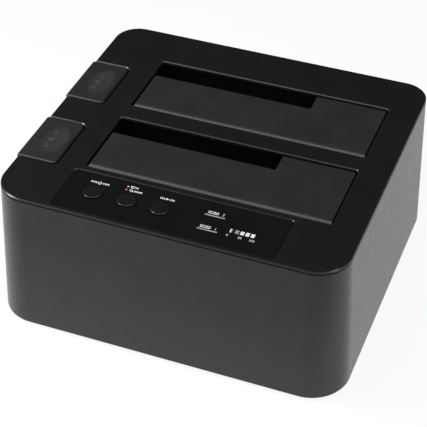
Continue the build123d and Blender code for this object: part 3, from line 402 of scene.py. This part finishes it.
def surface(name, colour, roughness, grain, depth, mottle=MOTTLE, patch=PATCH, rough_spread=ROUGH_SPREAD,
            stretch=None, **sockets):
    """A material with a fine grain in relief, slow changes of tone and changes of gloss."""
    material = bpy.data.materials.new(name)
    material.use_nodes = True
    tree = material.node_tree
    shader = tree.nodes["Principled BSDF"]
    for socket, value in sockets.items():
        shader.inputs[socket.replace("_", " ")].default_value = value
    place = object_place(tree)
    dark = opaque(c * (1 - mottle) for c in colour)
    light = opaque(min(1, c * (1 + mottle)) for c in colour)
    tone = blend(tree, spread(tree, noise(tree, place, patch), 0, 1), dark, light)
    gloss = spread(tree, noise(tree, place, patch / GLOSS_PATCHES), roughness - rough_spread,
                   roughness + rough_spread)
    bump = add_node(tree, "Bump", {"Distance": depth * MM, "Height": noise(tree, place, grain, stretch)})
    tree.links.new(tone, shader.inputs["Base Color"])
    tree.links.new(gloss, shader.inputs["Roughness"])
    tree.links.new(bump.outputs["Normal"], shader.inputs["Normal"])
    return material


def tint(material, share, colour, **settings):
    """Another colour mixed into a material's own."""
    tree = material.node_tree
    base = tree.nodes["Principled BSDF"].inputs["Base Color"]
    tree.links.new(blend(tree, share, base.links[0].from_socket, colour, **settings), base)


def paddle_material(bay):
    """A satin plastic, paler in the hollow as a painted sheen where the hollow catches light."""
    material = surface(f"paddle_{bay}_plastic", **FINISHES["paddle_plastic"])
    tree = material.node_tree
    x, y, top = middle(f"eject_{bay}_paddle")
    centre = ((x + DISH_SHIFT) * MM, y * MM, top * MM)
    squeeze = (1 / (DISH_REACH_X * MM), 1 / (DISH_REACH_Y * MM), 0)
    place = object_place(tree)
    shifted = add_node(tree, "VectorMath", {0: place, 1: centre}, operation="SUBTRACT").outputs[0]
    squeezed = add_node(tree, "VectorMath", {0: shifted, 1: squeeze}, operation="MULTIPLY").outputs[0]
    reach = add_node(tree, "VectorMath", {0: squeezed}, operation="LENGTH").outputs["Value"]
    sheen = remap(tree, reach, DISH_EDGE_SHARES, (0, 1), interpolation_type="SMOOTHSTEP")
    # Painted sheen: the hollow is tinted paler than the rest of the paddle.
    tint(material, sheen, opaque(DISH_SHEEN_COLOUR))
    return material


def progress_lens_material():
    """The first segment shows only its edge, the second is dim and the others are bright."""
    material = surface("progress_lens_plastic", **FINISHES["progress_lens_plastic"])
    tree = material.node_tree
    ends = [corner.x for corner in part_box("progress_lenses")]
    steps = add_node(tree, "ValToRGB", {"Fac": remap(tree, place_along(tree, "X"), ends, (0, 1))})
    ramp = steps.color_ramp
    ramp.interpolation = "CONSTANT"
    ramp.elements.remove(ramp.elements[1])
    for start, grey in PROGRESS_TONES:
        element = ramp.elements.new(start) if start else ramp.elements[0]
        element.color = opaque((grey, grey, grey))
    tint(material, 1, steps.outputs["Color"], blend_type="MULTIPLY")
    return material


def mode_lens_material():
    """The rear dot is a cold white and the front one amber."""
    material = surface("mode_lens_plastic", **FINISHES["mode_lens_plastic"])
    tree = material.node_tree
    inputs = {0: place_along(tree, "Y"), 1: middle("mode_lenses")[1] * MM}
    behind = add_node(tree, "Math", inputs, operation="GREATER_THAN").outputs[0]
    tint(material, behind, opaque(REAR_LENS_COLOUR))
    return material


def dress(material, names):
    for name in names:
        mesh = nodes[name].data
        mesh.materials.clear()
        mesh.materials.append(material)


def dress_all():
    for finish, names in WORN.items():
        dress(surface(finish, **FINISHES[finish]), names)
    for bay in BAYS:
        dress(paddle_material(bay), [f"eject_{bay}_paddle"])
    dress(progress_lens_material(), ["progress_lenses"])
    dress(mode_lens_material(), ["mode_lenses"])


# Outlines of the marks, each drawn around its own middle

def bar(x, y, length, width):
    return [(x + i * length / 2, y + j * width / 2) for i, j in CORNERS]


def frame_bars(x, y, length, width, line):
    """The four sides of an upright rectangle."""
    return [bar(x, y + width / 2, length + line, line), bar(x, y - width / 2, length + line, line),
            bar(x - length / 2, y, line, width - line), bar(x + length / 2, y, line, width - line)]


def arc_band(x, y, radius, width, start, end):
    """A ring's stretch between two angles in degrees, as quads."""
    def at(r, share):
        angle = radians(start + (end - start) * share)
        return x + r * cos(angle), y + r * sin(angle)
    outer = radius + width / 2
    inner = radius - width / 2
    shares = [i / RING_STEPS for i in range(RING_STEPS + 1)]
    return [[at(inner, a), at(outer, a), at(outer, b), at(inner, b)] for a, b in zip(shares, shares[1:])]


def strokes(rows):
    """Rows of short upright strokes."""
    places = [start + i * STROKE_PITCH for start, count in rows for i in range(count)]
    return [bar(place, 0, STROKE_WIDTH, STROKE_LENGTH) for place in places]


def moved(outlines, x, y):
    return [[(px + x, py + y) for px, py in outline] for outline in outlines]


def power_outlines():
    """A ring that is open to the back, with a bar in its gap."""
    ring = arc_band(0, -RING_DROP, RING_RADIUS, LINE, *RING_ANGLES)
    return ring + [bar(0, POWER_BAR_RISE, LINE, POWER_BAR_LENGTH)] + strokes(POWER_STROKES)


def start_outlines():
    """A triangle that points right."""
    triangle = [(START_BACK, -START_HALF_WIDTH), (START_TIP, 0), (START_BACK, START_HALF_WIDTH)]
    return [triangle] + strokes(START_STROKES)


def mode_outlines():
    """A screen on its stand, and in front of it two sheets."""
    screen = frame_bars(0, SCREEN_RISE, *SCREEN_SIZE, THIN_LINE) + [bar(0, -STAND_DROP, *STAND_SIZE)]
    sheets = frame_bars(*BACK_SHEET_PLACE, *BACK_SHEET_SIZE, THIN_LINE)
    sheets.append(bar(*FRONT_SHEET_PLACE, *FRONT_SHEET_SIZE))
    return (moved(screen + strokes(SCREEN_STROKES), *SCREEN_PLACE)
            + moved(sheets + strokes(SHEETS_STROKES), *SHEETS_PLACE))


def drive_outlines():
    """A drive, as a rectangle with a dot and a bar in it."""
    case = frame_bars(DRIVE_SHIFT, 0, *DRIVE_SIZE, DRIVE_LINE)
    return case + [bar(DRIVE_DOT_SHIFT, 0, *DRIVE_DOT_SIZE), bar(DRIVE_BAR_SHIFT, 0, *DRIVE_BAR_SIZE)]


def eject_outlines():
    """A triangle that points left over a bar, between short strokes."""
    triangle = [(EJECT_TIP, 0), (EJECT_BACK, -EJECT_HALF_WIDTH), (EJECT_BACK, EJECT_HALF_WIDTH)]
    base = bar(EJECT_BAR_SHIFT, 0, EJECT_BAR_WIDTH, 2 * EJECT_HALF_WIDTH)
    return [triangle, base] + [bar(0, rise, *EJECT_STROKE_SIZE) for rise in EJECT_STROKE_RISES]


# Marks, as thin ink or low relief

def add_piece(name, mesh, body):
    piece = bpy.data.objects.new(name, mesh)
    scene.collection.objects.link(piece)
    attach(piece, body)
    return piece


def slab(bm, outline, surface_z, height, sink):
    """A closed outline raised from a surface, given as a height for each place."""
    lower = [bm.verts.new((x * MM, y * MM, (surface_z(x, y) - sink) * MM)) for x, y in outline]
    upper = [bm.verts.new((x * MM, y * MM, (surface_z(x, y) + height) * MM)) for x, y in outline]
    bm.faces.new(lower[::-1])
    bm.faces.new(upper)
    for i in range(len(outline)):
        j = (i + 1) % len(outline)
        bm.faces.new((lower[i], lower[j], upper[j], upper[i]))


def mark(name, outlines, material, surface_z, body, height=INK_HEIGHT, sink=INK_SINK):
    bm = bmesh.new()
    for outline in outlines:
        slab(bm, outline, surface_z, height, sink)
    bmesh.ops.recalc_face_normals(bm, faces=bm.faces)
    mesh = bpy.data.meshes.new(name)
    bm.to_mesh(mesh)
    bm.free()
    mesh.materials.append(material)
    add_piece(name, mesh, body)


def number(name, text, x, y, top, height, material):
    """A plain number, lying on the strip and centred on a place."""
    curve = bpy.data.curves.new(name + "_line", "FONT")
    curve.body = text
    curve.align_x = "CENTER"
    curve.align_y = "CENTER"
    curve.size = height * MM / DIGIT_HEIGHT_SHARE
    curve.extrude = (INK_HEIGHT + INK_SINK) / 2 * MM
    curve.resolution_u = DIGIT_STEPS
    drawn = bpy.data.objects.new(name + "_line", curve)
    scene.collection.objects.link(drawn)
    drawn.location = (x * MM, y * MM, (top + (INK_HEIGHT - INK_SINK) / 2) * MM)
    bpy.context.view_layer.update()
    mesh = bpy.data.meshes.new_from_object(drawn.evaluated_get(bpy.context.evaluated_depsgraph_get()))
    mesh.transform(drawn.matrix_world)
    mesh.name = name
    bpy.data.objects.remove(drawn)
    mesh.materials.clear()
    mesh.materials.append(material)
    add_piece(name, mesh, "dock")


def stamp(name, outlines, x, y, top, ink):
    """A mark in ink at a place on the strip, whose top is level."""
    mark(name, moved(outlines, x, y), ink, lambda px, py: top, "dock")


def print_key_marks(top, ink):
    x, y, _ = middle("power_button")
    stamp("power_mark", power_outlines(), x + POWER_MARK_SHIFT, y + BUTTON_MARK_RISE, top, ink)
    x, y, _ = middle("start_button")
    stamp("start_mark", start_outlines(), x + START_MARK_SHIFT, y + BUTTON_MARK_RISE, top, ink)
    x, y, _ = middle("mode_lenses")
    stamp("mode_mark", mode_outlines(), x, y, top, ink)


def print_bay_marks(top, ink):
    """A drive and the bay's number, behind each bay's lens."""
    x = middle("bay_lenses")[0] + BAY_MARK_SHIFT
    front, rear = (corner.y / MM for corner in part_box("bay_lenses"))
    for bay, y in ((2, rear + BAY_2_MARK_RISE), (1, front + BAY_1_MARK_RISE)):
        stamp(f"bay_{bay}_mark", drive_outlines(), x, y, top, ink)
        number(f"bay_{bay}_number", str(bay), x + BAY_NUMBER_SHIFT, y, top, BAY_NUMBER_HEIGHT, ink)


def print_scale(top, ink):
    """Plain numbers in front of the progress lenses."""
    x, y, _ = middle("progress_lenses")
    for text, shift in SCALE_SHIFTS.items():
        number(f"scale_{text}", text, x + shift, y - SCALE_DROP, top, SCALE_HEIGHT, ink)


def print_strip():
    top = middle("control_panel")[2]
    ink = surface("white_ink", **FINISHES["white_ink"])
    print_key_marks(top, ink)
    print_bay_marks(top, ink)
    print_scale(top, ink)


def dish_radius(reach):
    """The radius of an arc that is as deep as the hollow and reaches this far to each side."""
    return (reach ** 2 + DISH_DEPTH ** 2) / (2 * DISH_DEPTH)


def dish_surface(x, y, top):
    """Gives the height at each place of the hollow in a paddle's top, whose middle is at x, y."""
    across = dish_radius(DISH_REACH_X)
    along = dish_radius(DISH_REACH_Y)
    bottom = top - DISH_DEPTH

    def height(px, py):
        arc = bottom + along - sqrt(along ** 2 - (py - y) ** 2)
        return bottom + across - sqrt((bottom + across - arc) ** 2 - (px - x) ** 2)
    return height


def raise_eject_marks():
    """A mark raised a little in each paddle's hollow, paler than the paddle as a painted highlight."""
    raised = surface("highlit_eject_mark_plastic", **FINISHES["highlit_eject_mark_plastic"])
    for bay in BAYS:
        x, y, top = middle(f"eject_{bay}_paddle")
        height = dish_surface(x + DISH_SHIFT, y, top)
        mark(f"eject_{bay}_mark", moved(eject_outlines(), x, y), raised, height, f"eject_{bay}_paddle",
             RAISED_HEIGHT, RAISED_SINK)


# Springs

def close_eject_springs():
    """Each eject spring's coils, as a copy of its mesh held by the dock, in place of the hidden spring."""
    for bay in BAYS:
        spring = nodes[f"eject_{bay}_spring"]
        coils = add_piece(f"eject_{bay}_coils", spring.data.copy(), "dock")
        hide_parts(spring.name)
        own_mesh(coils)


place_camera()
make_world()
make_floor()
hang_softboxes()
dress_all()
print_strip()
raise_eject_marks()
close_eject_springs()

scene.view_settings.view_transform = "Standard"
